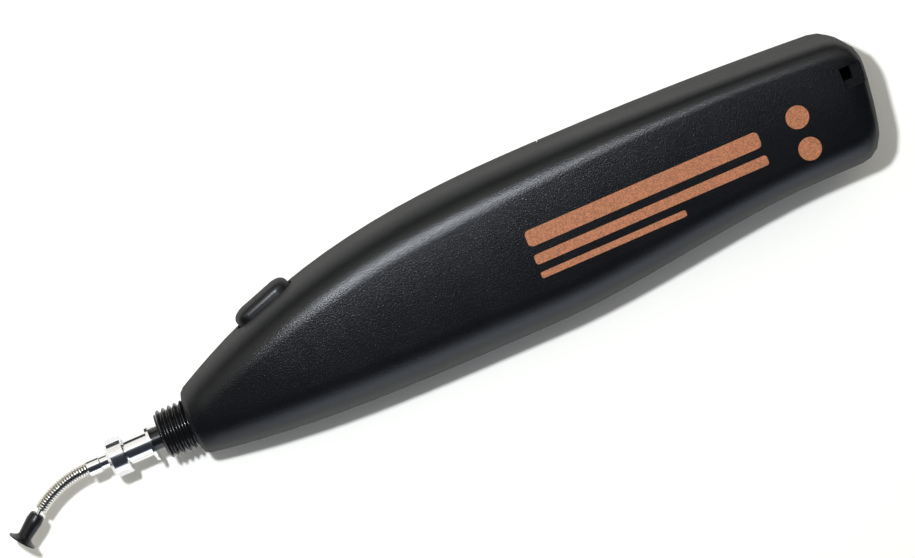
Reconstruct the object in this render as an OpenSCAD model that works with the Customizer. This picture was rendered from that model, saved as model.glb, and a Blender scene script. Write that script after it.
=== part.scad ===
// Vacuum pick up pen: a battery pen with a small diaphragm pump inside. It lifts small parts
// with a rubber pad on a bent, coil-sleeved pipe while its button is pressed.
// The pen lies on its flat side: X runs from nozzle to rear, Y to the button side, Z up.
// Pieces are drawn in pen coordinates (x from the nose face, y from the nozzle's axis,
// z from the parting plane), and place() sets the pen down on its side.

/* [Body] */
// Half height of the round nose end
nose_r = 7.1; // [6.9:0.1:7.6]
// Height of the back's highest line above the nozzle's axis
crest_y = 25.6; // [25:0.1:28]
// Distance from the nose to the highest line
crest_x = 84; // [76:1:92]
// Depth of the belly below the nozzle's axis
belly_y = 11; // [10.4:0.1:13]
// Distance from the nose to the deepest part of the belly
belly_x = 68; // [60:1:74]
// Height of the back at the rear end
tail_top = 22.3; // [21.6:0.1:24]
// Depth of the underside at the rear grip
tail_bottom = 5.4; // [4.9:0.1:7]
// Distance from the nose to where the belly starts to rise
waist_start = 78; // [75:1:86]
// Distance from the nose to where the rear grip is reached
waist_end = 142; // [132:1:148]
// Half thickness of the grip
half_t = 12; // [11.8:0.1:13.5]
// Distance over which the nose widens to the full thickness
nose_taper = 42; // [36:1:46]
// Radius of the back's long edge along the grip
corner_r = 7.8; // [7.2:0.1:8.4]
// Radius of the belly's long edge along the grip
belly_corner_r = 9.6; // [9:0.1:10.2]
// Radius of the back's long edges at the rear
tail_back_r = 3.8; // [3.2:0.1:5]
// Radius of the belly's long edges at the rear
tail_belly_r = 7.2; // [6:0.1:7.6]
// Draft of the moulded halves away from the parting plane
draft = 2; // [1:0.5:3]
// Wall of the moulded shells
wall = 1.8; // [1.6:0.1:2]
// Wall at the nose face
nose_wall = 2.2; // [2:0.1:2.6]
// Radius of the upper rear corner
rear_top_r = 7.5; // [6:0.5:9]
// Radius of the lower rear corner
rear_bottom_r = 5; // [4:0.5:6]
// Rounding of the side faces into the rear end
rear_side_r = 3; // [2.5:0.5:5]
// Rounding of the nose face's edge
nose_edge_r = 1.2; // [0.8:0.1:1.5]
// How far the rear end leans forward, as a slope
rear_lean = 0.13; // [0.05:0.01:0.2]
// Distance from the battery bay to the rear end
tail_len = 17; // [15:0.5:22]

/* [Pump] */
// Distance from the nose face to the pump
pump_x = 41; // [40.6:0.2:46]
// Length of the pump body
pump_len = 16.5; // [15:0.5:20]
// Radius of the round top of the pump body
pump_r = 7.6; // [7.4:0.1:8]
// Height of the motor's axis above the nozzle's axis
motor_y = 12.2; // [12:0.1:12.5]
// Length of the motor can
motor_len = 25; // [20:0.5:30]
// Radius of the motor can
motor_r = 10; // [9:0.1:10.2]
// Half width of the motor across its flats
motor_flat = 7.5; // [7:0.1:8]
// Radius of the motor shaft
shaft_r = 1; // [0.8:0.1:1.2]
// Throw of the eccentric
throw = 1; // [0.6:0.1:1.2]
// Radius of the eccentric
eccentric_r = 3; // [2.6:0.1:3.1]
// Thickness of the rubber diaphragm
diaphragm_t = 0.9; // [0.6:0.1:1.2]
// Thickness of the valve plate
valve_t = 1.6; // [1.2:0.1:1.8]

/* [Battery] */
// Radius of a cell
cell_r = 5.25; // [5:0.05:5.4]
// Length of a cell with its nub
cell_len = 44.5; // [40:0.5:48]
// Length of the contact spring when a cell is in
spring_len = 3.5; // [3:0.1:5]
// Thickness of the contact plates
contact_t = 0.4; // [0.3:0.05:0.6]

/* [Button] */
// Distance from the nose face to the middle of the button
button_x = 24.3; // [23:0.1:25]
// Length of the button
button_len = 14; // [12:0.1:15]
// Width of the button
button_w = 6.8; // [6:0.1:7.6]
// Height of the button above the shell
button_h = 2.5; // [2:0.1:3]
// Travel of the button
button_travel = 1.2; // [0.8:0.1:1.4]

/* [Nozzle] */
// Outer radius of the thread on the nose collar
thread_r = 5.5; // [5.3:0.05:5.7]
// Length of the thread in front of the nose face
thread_len = 6.9; // [5.5:0.1:8]
// Outer radius of the black spigot
spigot_r = 2.5; // [2.4:0.05:2.8]
// Length of spigot seen between the collar and the holder
spigot_gap = 2.1; // [1.5:0.1:3]
// Outer radius of the chromed holder
holder_r = 3.05; // [2.9:0.05:3.4]
// Radius of the holder's ring flange
flange_r = 4.5; // [4:0.1:4.8]
// Length of the holder's plain barrel
barrel_len = 5.3; // [4:0.1:7]
// Outer radius of the collar nut
nut_r = 4.5; // [4.2:0.1:5]
// Length of the collar nut
nut_len = 4; // [3.6:0.1:5]
// Radius of the ferrule
ferrule_r = 1.95; // [1.8:0.05:2.1]
// Length of the ferrule's thick end
ferrule_len = 3; // [2:0.1:4]
// Outer radius of the thin pipe
pipe_r = 0.55; // [0.5:0.05:0.65]
// Outer radius of the coil sleeve
coil_r = 1.45; // [1.35:0.05:1.6]
// Thickness of the coil's wire
wire_d = 0.44; // [0.36:0.02:0.48]
// Angle of the pipe's bend
bend_angle = 36; // [20:1:45]
// Radius of the pipe's bend
bend_r = 22.2; // [18:0.1:26]
// Turn of the bend towards the side that the pen lies on
bend_turn = -9; // [-20:1:40]
// Outer radius of the pad's rim
pad_r = 3.1; // [2.5:0.1:3.6]
// Length of the rubber pad
pad_len = 6.8; // [6:0.1:8]

/* [Hidden] */
$fn = 64;

// Fits
fit = 0.05;
running = 0.08;
part_gap = 0.2;
seat_gap = 0.1;
overlap = 0.6;
through = 40;

// Colours
shell_black = [0.07, 0.07, 0.08];
gloss_black = [0.04, 0.04, 0.045];
chrome = [0.78, 0.78, 0.8];
steel = [0.66, 0.66, 0.68];
rubber_black = [0.05, 0.05, 0.05];

// Stations along the body
boss_r = 3.4;
screw_hole_r = 1.25;
pilot_r = 0.95;
pilot_len = 7;
motor_x = pump_x + pump_len;
motor_end = motor_x + motor_len;
front_boss_x = pump_x - boss_r - 0.4;
rear_boss_x = motor_end + 0.9 + boss_r;
cover_x = rear_boss_x + boss_r + 1;
bulkhead_t = 1.6;
bay_x = cover_x + 2.4;
bay_len = cell_len + spring_len + 2 * contact_t;
bay_end = bay_x + bay_len;
body_length = bay_end + bulkhead_t + tail_len;
lean_run = 36;
lean_start = body_length - lean_run;

// Outline of the body
function clamp01(u) = max(0, min(1, u));
function ease(u, power) = 1 - pow(1 - clamp01(u), power);
function smooth(u) = let (c = clamp01(u)) c * c * (3 - 2 * c);
function back_line(x) =
    x < crest_x
        ? nose_r + (crest_y - nose_r) * ease(x / crest_x, 2.4)
        : crest_y - (crest_y - tail_top) * pow(clamp01((x - crest_x) / (body_length - crest_x)), 1.75);
function belly_line(x) =
    -nose_r - (belly_y - nose_r) * ease(x / belly_x, 2.8)
    + (belly_y - tail_bottom) * smooth((x - waist_start) / (waist_end - waist_start));
function side_line(x) = nose_r + (half_t - nose_r) * ease(x / nose_taper, 2.2);
nose_corner_r = nose_r - 0.5;
corner_start = belly_x - 10;
function corner_line(x, side_r, tail_r) =
    nose_corner_r + (side_r - nose_corner_r) * ease(x / nose_taper, 2.2)
    - (side_r - tail_r) * smooth((x - corner_start) / (waist_end - corner_start));

// How far an edge of radius r has turned in at distance d from the end
function turned_in(d, r) = d >= r ? 0 : r - sqrt(max(0, r * r - (r - d) * (r - d)));

// Half section at x, from the back's parting line round the side to the belly's, set in by inset
function section(x, inset, gap, steps) =
    let (
        rear = body_length - inset - x,
        front = x - (inset > 0 ? nose_wall : 0),
        nose_turn = turned_in(front, max(0.3, nose_edge_r - inset)),
        y1 = back_line(x) - inset - turned_in(rear, rear_top_r - inset) - nose_turn,
        y0 = belly_line(x) + inset + turned_in(rear, rear_bottom_r - inset) + nose_turn,
        z1 = side_line(x) - inset - turned_in(rear, rear_side_r - inset) - nose_turn,
        most = min(z1 - gap, (y1 - y0) / 2) - 0.2,
        r1 = min(corner_line(x, corner_r, tail_back_r) - inset, most),
        r0 = min(corner_line(x, belly_corner_r, tail_belly_r) - inset, most),
        c1 = y1 - (z1 - r1) * tan(draft) - r1 / cos(draft),
        c0 = y0 + (z1 - r0) * tan(draft) + r0 / cos(draft),
        turns = [for (i = [0:steps]) draft + (90 - draft) * i / steps]
    )
    concat(
        [[y1 - gap * tan(draft), gap]],
        [for (a = turns) [c1 + r1 * cos(a), z1 - r1 + r1 * sin(a)]],
        [for (i = [steps:-1:0]) [c0 - r0 * cos(turns[i]), z1 - r0 + r0 * sin(turns[i])]],
        [[y0 + gap * tan(draft), gap]]
    );
function leaned(x, y) =
    x + rear_lean * (y - tail_top) * smooth((x - lean_start) / (body_length - lean_start));
function ring_points(x, inset, gap, steps) =
    [for (p = section(x, inset, gap, steps)) [leaned(x, p[0]), p[0], p[1]]];

// Stations from x0 to x1, closer together where the nose and the rear end turn in
edge_steps = 5;
function stations(x0, x1, rows) =
    let (
        nose_end = x0 + nose_edge_r,
        rear_begin = x1 - rear_top_r,
        nose_rows = [for (i = [0:2]) nose_end - nose_edge_r * cos(45 * i)],
        long_rows = [for (i = [1:rows]) nose_end + (rear_begin - nose_end) * pow(i / rows, 1.15)],
        rear_rows = [for (i = [1:edge_steps]) rear_begin + rear_top_r * sin(90 * i / edge_steps)]
    )
    concat(nose_rows, long_rows, rear_rows);
function from_to(list, a, b) = concat([a], [for (x = list) if (x > a + 0.1 && x < b - 0.1) x], [b]);

// Half of a hollow moulding between two lists of stations, closed or open at each end
module half_shell(outer_x, inner_x, gap, closed_front, closed_rear, steps) {
    outer = [for (x = outer_x) ring_points(x, 0, gap, steps)];
    inner = [for (x = inner_x) ring_points(x, wall, gap, steps)];
    n = len(outer_x);
    k = len(outer[0]);
    points = [for (i = [0:n - 1]) for (p = concat(outer[i], inner[i])) p];
    function o(i, j) = i * 2 * k + j;
    function s(i, j) = i * 2 * k + k + j;
    skin = [for (i = [0:n - 2]) for (j = [0:k - 2]) each [
        [o(i, j), o(i + 1, j), o(i + 1, j + 1)], [o(i, j), o(i + 1, j + 1), o(i, j + 1)],
        [s(i, j), s(i + 1, j + 1), s(i + 1, j)], [s(i, j), s(i, j + 1), s(i + 1, j + 1)]]];
    rims = [for (i = [0:n - 2]) each [
        [o(i, 0), s(i, 0), s(i + 1, 0)], [o(i, 0), s(i + 1, 0), o(i + 1, 0)],
        [o(i, k - 1), o(i + 1, k - 1), s(i + 1, k - 1)], [o(i, k - 1), s(i + 1, k - 1), s(i, k - 1)]]];
    m = n - 1;
    front = closed_front
        ? concat(
            [for (j = [1:k - 2]) [o(0, 0), o(0, j), o(0, j + 1)]],
            [for (j = [1:k - 2]) [s(0, 0), s(0, j + 1), s(0, j)]],
            [[o(0, 0), o(0, k - 1), s(0, k - 1)], [o(0, 0), s(0, k - 1), s(0, 0)]])
        : [for (j = [0:k - 2]) each [[o(0, j), o(0, j + 1), s(0, j + 1)], [o(0, j), s(0, j + 1), s(0, j)]]];
    rear = closed_rear
        ? concat(
            [for (j = [1:k - 2]) [o(m, 0), o(m, j + 1), o(m, j)]],
            [for (j = [1:k - 2]) [s(m, 0), s(m, j), s(m, j + 1)]],
            [[o(m, 0), s(m, 0), s(m, k - 1)], [o(m, 0), s(m, k - 1), o(m, k - 1)]])
        : [for (j = [0:k - 2]) each [[o(m, j), s(m, j + 1), o(m, j + 1)], [o(m, j), s(m, j), s(m, j + 1)]]];
    polyhedron(points, concat(skin, rims, front, rear), convexity = 8);
}
corner_steps = 8;
body_rows = 26;
outer_x = stations(0, body_length, body_rows);
inner_x = [for (x = outer_x) nose_wall + x * (body_length - nose_wall - wall) / body_length];

// Frames
module place() {
    translate([-rest_x, -rest_y, half_t]) children();
}
rest_x = 80;
rest_y = 7;

// A piece turned about the nozzle's axis, from [radius, x] points
module turned(profile) {
    rotate([0, 90, 0]) rotate_extrude() polygon([for (p = profile) [p[0], p[1]]]);
}
button_slope = atan((back_line(button_x + 1) - back_line(button_x - 1)) / 2);
module at_button() {
    translate([button_x, back_line(button_x), 0]) rotate([0, 0, button_slope]) children();
}
// Prism with round ends, long along x, standing along y between two heights
module stadium(length, width, y0, y1) {
    translate([0, y0, 0]) rotate([-90, 0, 0]) linear_extrude(y1 - y0) {
        square([length - width, width], center = true);
        for (side = [-1, 1]) translate([side * (length - width) / 2, 0]) circle(d = width);
    }
}

// Shells
cover_gap = 0.3;
slot_gap = 0.35;
slot_end_gap = 0.65;
motor_pad_h = half_t - wall - motor_flat;
pump_pad_h = half_t - wall - pump_r;
board_y = -9.7;
board_t = 1.2;
board_half_w = 7.5;
board_len = 12;
collar_neck_r = 4.6;
collar_flange_r = 5.6;
collar_flange_t = 2;
collar_tube_r = 4.2;
boss_in = boss_r + 5;
front_boss_y = back_line(front_boss_x) - boss_in;
rear_boss_ys = [back_line(rear_boss_x) - boss_in, belly_line(rear_boss_x) + boss_in];
boss_places = concat([[front_boss_x, front_boss_y]], [for (y = rear_boss_ys) [rear_boss_x, y]]);
bay_y = (back_line(bay_x + bay_len / 2) + belly_line(bay_x + bay_len / 2)) / 2;
cell_pitch = 2 * cell_r + 0.6;
cell_ys = [bay_y - cell_pitch / 2, bay_y + cell_pitch / 2];

bulkhead_in = 5.4;
saddle_in = 10;
saddle_t = 1.6;
saddle_side = 2.4;
saddle_low = 2;
lead_r = 0.55;
lead_hole_z = 2.6;

module boss(r) {
    for (p = boss_places) translate([p[0], p[1], 0]) cylinder(r = r, h = half_t - wall + overlap);
}
// Low ribs on the side wall that the pump, the motor and the switch board sit between
module cradle_ribs() {
    rib_w = 2;
    rib_len = 7;
    slim_rib = 1.4;
    for (x = [motor_x + 2 * rib_w, motor_end - 3 * rib_w])
        translate([x, motor_y - 5, motor_flat + seat_gap])
            cube([rib_w, rib_len, motor_pad_h - seat_gap + overlap]);
    for (x = [pump_x + 1.5 * rib_w, motor_x - 2.5 * rib_w])
        translate([x, motor_y - 6, pump_r + seat_gap])
            cube([rib_w, rib_len - 2, pump_pad_h - seat_gap + overlap]);
    translate([nose_wall + collar_flange_t + 2 * seat_gap, -rib_len / 2, collar_tube_r + seat_gap])
        cube([slim_rib, rib_len, collar_flange_r - collar_tube_r + 1]);
    at_button() for (y = [board_y - board_t - slim_rib - seat_gap, board_y + seat_gap])
        translate([-board_len / 2, y, board_half_w - 0.8]) cube([board_len, slim_rib, 3.1]);
}
// Openings that both halves share: the collar's seat in the nose and the button's slot
module shared_cuts() {
    rotate([0, 90, 0]) translate([0, 0, -1]) cylinder(r = collar_neck_r + fit, h = nose_wall + 2);
    at_button() stadium(button_len + 2 * slot_end_gap, button_w + 2 * slot_gap, -wall - 1.4, 6);
}
// Bulkheads of the battery bay and the saddles under the cells
module bay_walls() {
    difference() {
        for (x = [bay_x - bulkhead_t, bay_end]) {
            y0 = belly_line(x) + bulkhead_in;
            y1 = back_line(x) - bulkhead_in;
            translate([x, y0, -cell_r + 1]) cube([bulkhead_t, y1 - y0, half_t - wall + overlap + cell_r - 1]);
        }
        for (y = cell_ys) translate([bay_x - bulkhead_t - 1, y, lead_hole_z]) rotate([0, 90, 0])
            cylinder(r = lead_r + part_gap, h = bulkhead_t + 2, $fn = 24);
    }
    difference() {
        for (x = [bay_x + saddle_in, bay_end - saddle_in - saddle_t])
            translate([x, cell_ys[0] - saddle_side, saddle_low])
                cube([saddle_t, cell_pitch + 2 * saddle_side, half_t - wall + overlap - saddle_low]);
        for (y = cell_ys)
            translate([bay_x, y, 0]) rotate([0, 90, 0]) cylinder(r = cell_r + seat_gap, h = bay_len);
    }
}
// Lanyard eye: a recess in the rear corner with a square hole that turns out through the rear end
eye_x = body_length - 6.8;
eye_y = 11.8;
eye_w = 4.6;
eye_step = 1.6;
eye_recess = 1;
eye_depth = 5.6;
eye_hole = 2.4;
eye_slot = 2;
module lanyard_eye() {
    translate([eye_x, eye_y, half_t - eye_recess]) cube([through, eye_w, through]);
    translate([eye_x, eye_y + eye_step, half_t - eye_depth]) {
        cube([eye_hole, eye_w - eye_step, through]);
        cube([through, eye_w - eye_step, eye_slot]);
    }
}

module upper_shell() {
    color(shell_black) place() difference() {
        union() {
            half_shell(outer_x, inner_x, 0, true, true, corner_steps);
            boss(boss_r - 0.8);
            cradle_ribs();
            bay_walls();
        }
        shared_cuts();
        lanyard_eye();
        for (p = boss_places) translate([p[0], p[1], -1]) cylinder(r = pilot_r, h = pilot_len + 1);
    }
}
front_rows = from_to(outer_x, 0, cover_x);
front_inner_rows = [for (x = front_rows) nose_wall + x * (cover_x - nose_wall) / cover_x];
head_r = 2.4;
head_h = 1.8;
head_floor = 3.2;
module lower_shell() {
    color(shell_black) place() mirror([0, 0, 1]) difference() {
        union() {
            half_shell(front_rows, front_inner_rows, 0, true, false, corner_steps);
            boss(boss_r);
            cradle_ribs();
        }
        shared_cuts();
        for (p = boss_places) translate([p[0], p[1], 0]) {
            translate([0, 0, -1]) cylinder(r = screw_hole_r, h = half_t + 2);
            translate([0, 0, half_t - head_floor]) cylinder(r = head_r + part_gap, h = head_floor + 1);
        }
    }
}
cover_rows = from_to(outer_x, cover_x + cover_gap, body_length);
cover_inner_rows = [for (x = cover_rows)
    cover_x + cover_gap + (x - cover_x - cover_gap) * (body_length - wall - cover_x - cover_gap)
    / (body_length - cover_x - cover_gap)];
tongue_w = 10;
tongue_t = 1.2;
tongue_reach = 4;
tongue_root = 6;
groove_len = 13;
groove_pitch = 2.4;
groove_depth = 0.5;
cover_mid_y = (cell_ys[0] + cell_ys[1]) / 2;
module battery_cover() {
    front = cover_x + cover_gap;
    tongue_z = half_t - wall - cover_gap - tongue_t;
    color(shell_black) place() mirror([0, 0, 1]) difference() {
        union() {
            half_shell(cover_rows, cover_inner_rows, part_gap, false, true, corner_steps);
            translate([cover_x - tongue_reach, cover_mid_y - tongue_w / 2, tongue_z])
                cube([tongue_reach + tongue_root, tongue_w, tongue_t]);
            translate([front, cover_mid_y - tongue_w / 2, tongue_z])
                cube([tongue_root - cover_gap, tongue_w, tongue_t + cover_gap + overlap]);
        }
        translate([front + tongue_root, cover_mid_y - groove_len / 2, half_t - groove_depth]) for (i = [0:3])
            translate([i * groove_pitch, 0, 0]) cube([groove_pitch / 2, groove_len, 1]);
    }
}
module housing_screws() {
    shank_r = 1.15;
    color(steel) place() for (p = boss_places) translate([p[0], p[1], 0]) {
        difference() {
            translate([0, 0, head_floor - half_t - head_h]) cylinder(r = head_r, h = head_h);
            for (turn = [0, 90]) rotate([0, 0, turn])
                translate([-1.4, -0.3, head_floor - half_t - head_h - 1]) cube([2.8, 0.6, 1.9]);
        }
        translate([0, 0, head_floor - half_t]) cylinder(r = shank_r, h = half_t - head_floor);
        cylinder(r = pilot_r - fit, h = pilot_len - 1);
    }
}

// Button and switch
cap_skirt = wall + 0.5;
cap_lip = 0.9;
cap_end_lip = 1.2;
cap_lip_t = 1;
cap_half_w = button_w / 2;
// Half profile of the cap: a crowned top with round shoulders over a straight skirt
function cap_profile() =
    let (rise = 0.5, shoulder = button_h - rise)
    concat(
        [[0, -cap_skirt], [cap_half_w, -cap_skirt], [cap_half_w, rise]],
        [for (a = [10:10:90]) [cap_half_w * pow(cos(a), 0.8), rise + shoulder * pow(sin(a), 0.9)]]
    );
module button_cap() {
    half_straight = (button_len - button_w) / 2;
    color(gloss_black) place() at_button() {
        rotate([0, 90, 0]) translate([0, 0, -half_straight]) linear_extrude(2 * half_straight)
            for (side = [0, 1]) mirror([side, 0]) polygon([for (p = cap_profile()) [p[0], p[1]]]);
        for (side = [0, 180]) rotate([0, side, 0]) translate([half_straight, 0, 0])
            rotate([-90, -90, 0]) rotate_extrude(angle = 180) polygon([for (p = cap_profile()) [p[0], p[1]]]);
        stadium(button_len + 2 * cap_end_lip, button_w + 2 * cap_lip, -cap_skirt - cap_lip_t, -cap_skirt);
    }
}
plunger_top = -cap_skirt - cap_lip_t;
switch_top = plunger_top - button_travel - 0.5;
switch_half = 3;
plunger_half = 1.6;
module switch_plunger() {
    low = switch_top - button_travel - 0.3;
    color("ivory") place() at_button() translate([-plunger_half, low, -plunger_half])
        cube([2 * plunger_half, plunger_top - low, 2 * plunger_half]);
}
module push_switch() {
    color("dimgray") place() at_button() difference() {
        translate([-switch_half, board_y, -switch_half])
            cube([2 * switch_half, switch_top - board_y, 2 * switch_half]);
        translate([-plunger_half - part_gap, board_y + 0.4, -plunger_half - part_gap])
            cube([2 * (plunger_half + part_gap), through, 2 * (plunger_half + part_gap)]);
    }
}
module switch_board() {
    color("darkgreen") place() at_button() translate([-board_len / 2, board_y - board_t, -board_half_w])
        cube([board_len, board_t, 2 * board_half_w]);
}

// Nose fittings, all turned about the nozzle's axis
spigot_front = -thread_len - spigot_gap;
spigot_tip = spigot_front - 4.4;
spigot_tip_r = 1.9;
spigot_bore = 0.7;
spigot_rear = nose_wall + collar_flange_t + 5;
barb_r = 1.5;
barb_len = 4.5;
groove_x = spigot_front - 2.4;
groove_w = 1;
groove_r = 1.25;
filter_r = 1.75;
filter_x = -1.5;
filter_len = 7;
module thread_collar() {
    tube_end = spigot_rear - 0.6;
    lead_in = 0.7;
    color(gloss_black) place() turned([
        [spigot_r + fit, -thread_len], [thread_r - lead_in, -thread_len], [thread_r, lead_in - thread_len],
        [thread_r, -0.4], [collar_neck_r, -0.4], [collar_neck_r, nose_wall + seat_gap],
        [collar_flange_r, nose_wall + seat_gap], [collar_flange_r, nose_wall + collar_flange_t + seat_gap],
        [collar_tube_r, nose_wall + collar_flange_t + seat_gap], [collar_tube_r, tube_end],
        [spigot_r + fit, tube_end]
    ]);
}
module spigot() {
    pocket_r = filter_r + fit;
    pocket_x = filter_x - 0.2;
    pocket_end = filter_x + filter_len;
    color(gloss_black) place() turned([
        [spigot_bore, spigot_tip], [spigot_tip_r, spigot_tip], [spigot_tip_r, groove_x - groove_w / 2],
        [groove_r, groove_x - groove_w / 2], [groove_r, groove_x + groove_w / 2],
        [spigot_tip_r, groove_x + groove_w / 2], [spigot_tip_r, spigot_front], [spigot_r, spigot_front],
        [spigot_r, spigot_rear], [barb_r, spigot_rear], [barb_r, spigot_rear + barb_len],
        [spigot_bore, spigot_rear + barb_len], [spigot_bore, pocket_end],
        [pocket_r, pocket_end], [pocket_r, pocket_x], [spigot_bore, pocket_x]
    ]);
}
holder_bore = spigot_tip_r + fit;
module o_ring() {
    ring_wire = (holder_bore - groove_r - 2 * 0.02) / 2;
    color(rubber_black) place() translate([groove_x, 0, 0]) rotate([0, 90, 0]) rotate_extrude()
        translate([groove_r + 0.02 + ring_wire, 0]) circle(r = ring_wire, $fn = 32);
}
module filter() {
    color("white") place() translate([filter_x, 0, 0]) rotate([0, 90, 0])
        cylinder(r = filter_r, h = filter_len - 0.2);
}
flange_t = 0.6;
holder_rear = spigot_front - fit;
barrel_front = holder_rear - flange_t - barrel_len;
stem_r = 2.5;
nut_rear = barrel_front - part_gap;
nut_front = nut_rear - nut_len;
nut_face = 0.7;
clamp_t = 0.6;
clamp_front = nut_front + nut_face + part_gap;
stem_front = clamp_front + clamp_t + part_gap;
neck_r = 1.65;
module nozzle_holder() {
    bore_end = spigot_tip - 0.3;
    color(chrome) place() turned([
        [holder_bore, holder_rear], [flange_r, holder_rear], [flange_r, holder_rear - flange_t],
        [holder_r, holder_rear - flange_t], [holder_r, barrel_front], [stem_r, barrel_front],
        [stem_r, stem_front], [neck_r + running, stem_front], [neck_r + running, bore_end],
        [holder_bore, bore_end]
    ]);
}
module collar_nut() {
    chamfer = 0.7;
    color(chrome) place() turned([
        [stem_r + running, nut_rear], [nut_r - 0.25, nut_rear], [nut_r, nut_rear - 0.25],
        [nut_r, nut_front + chamfer], [nut_r - chamfer, nut_front], [neck_r + running, nut_front],
        [neck_r + running, nut_front + nut_face], [stem_r + running, nut_front + nut_face]
    ]);
}
ferrule_neck = 2;
ferrule_rear = nut_front - ferrule_neck;
ferrule_front = ferrule_rear - ferrule_len;
ferrule_tail = stem_front + 3;
module ferrule() {
    bore = pipe_r + fit;
    color(chrome) place() turned([
        [bore, ferrule_front], [ferrule_r - 0.1, ferrule_front], [ferrule_r, ferrule_front + 0.1],
        [ferrule_r, ferrule_rear - 0.15], [neck_r, ferrule_rear], [neck_r, clamp_front],
        [stem_r - 0.2, clamp_front], [stem_r - 0.2, clamp_front + clamp_t], [neck_r, clamp_front + clamp_t],
        [neck_r, ferrule_tail], [bore, ferrule_tail]
    ]);
}

// Bent pipe: the bend starts at the ferrule, in a plane turned about the nozzle's axis
pipe_start = ferrule_rear + 1.5;
bare_len = 0.8;
module at_bend() {
    translate([ferrule_front, 0, 0]) rotate([bend_turn, 0, 0]) children();
}
module at_tip() {
    at_bend() translate([-bend_r * sin(bend_angle), bend_r * (cos(bend_angle) - 1), 0])
        rotate([0, 0, bend_angle]) children();
}
// Points round each frame of a sweep, where a frame is [middle, first direction, second direction]
function swept_points(frames, r, sides) =
    [for (f = frames) for (k = [0:sides - 1])
        let (a = 360 * k / sides) f[0] + r * cos(a) * f[1] + r * sin(a) * f[2]];
// Two triangles for each side of each step of a sweep whose points start at first
function swept_walls(steps, sides, first) =
    [for (i = [0:steps - 1]) for (k = [0:sides - 1]) let (
        a = first + i * sides + k, b = first + i * sides + (k + 1) % sides, c = a + sides, d = b + sides)
        each [[a, d, b], [a, c, d]]];
module swept_wire(frames, r, sides) {
    n = len(frames);
    caps = concat(
        [for (k = [1:sides - 2]) [0, k, k + 1]],
        [for (k = [1:sides - 2]) (n - 1) * sides * [1, 1, 1] + [0, k + 1, k]]
    );
    polyhedron(swept_points(frames, r, sides), concat(swept_walls(n - 1, sides, 0), caps), convexity = 6);
}
module swept_tube(frames, r, bore, sides) {
    n = len(frames);
    inner = n * sides;
    outside = swept_walls(n - 1, sides, 0);
    inside = [for (f = swept_walls(n - 1, sides, inner)) [f[0], f[2], f[1]]];
    ends = [for (k = [0:sides - 1]) let (
        a = k, b = (k + 1) % sides, c = a + inner, d = b + inner, up = inner - sides)
        each [[a, b, d], [a, d, c], [a + up, d + up, b + up], [a + up, c + up, d + up]]];
    points = concat(swept_points(frames, r, sides), swept_points(frames, bore, sides));
    polyhedron(points, concat(outside, inside, ends), convexity = 6);
}
// Frame on the bend's middle line, and one pushed on along it
function bend_frame(angle) =
    let (out = [-sin(angle), cos(angle), 0]) [[0, -bend_r, 0] + out * bend_r, [0, 0, 1], out];
function pushed(frame, angle, d) = [frame[0] - d * [cos(angle), sin(angle), 0], frame[1], frame[2]];
pipe_in_pad = 4.5;
pipe_wall = 0.2;
module pipe() {
    rear = pushed(bend_frame(0), 0, ferrule_front - pipe_start);
    tip = pushed(bend_frame(bend_angle), bend_angle, bare_len + pipe_in_pad);
    bend = [for (i = [0:12]) bend_frame(bend_angle * i / 12)];
    color(chrome) place() at_bend() swept_tube(concat([rear], bend, [tip]), pipe_r, pipe_r - pipe_wall, 20);
}
coil_pitch = 0.59;
coil_steps = 10;
module coil_sleeve() {
    wire_r = wire_d / 2;
    middle_r = coil_r - wire_r;
    coil_span = bend_angle - 2 * (wire_r + 0.03) / bend_r * 180 / PI;
    start_angle = (bend_angle - coil_span) / 2;
    turns = floor(bend_r * coil_span * PI / 180 / coil_pitch);
    frames = [for (i = [0:turns * coil_steps]) let (
        bend = start_angle + coil_span * i / (turns * coil_steps),
        a = 360 * i / coil_steps,
        core = bend_frame(bend),
        radial = core[2] * cos(a) + core[1] * sin(a))
        [core[0] + radial * middle_r, radial, [-cos(bend), -sin(bend), 0]]];
    color(steel) place() at_bend() swept_wire(frames, wire_r, 5);
}
module suction_pad() {
    top_r = 1.6;
    swell_r = 1.8;
    waist_r = 1.52;
    flare_len = 1.35;
    lip_t = 0.3;
    cup_depth = 0.9;
    bore = pipe_r + fit;
    color(rubber_black) place() at_tip() rotate([0, -90, 0]) translate([0, 0, bare_len]) rotate_extrude()
        polygon([
            [bore, 0], [top_r - 0.3, 0], [top_r, 0.3], [swell_r, 1.7], [waist_r, pad_len - flare_len],
            [waist_r + 0.25, pad_len - flare_len + 0.4], [pad_r - 0.5, pad_len - lip_t - 0.15],
            [pad_r, pad_len - lip_t], [pad_r, pad_len], [pad_r - 0.35, pad_len], [bore, pad_len - cup_depth]
        ]);
}

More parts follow.
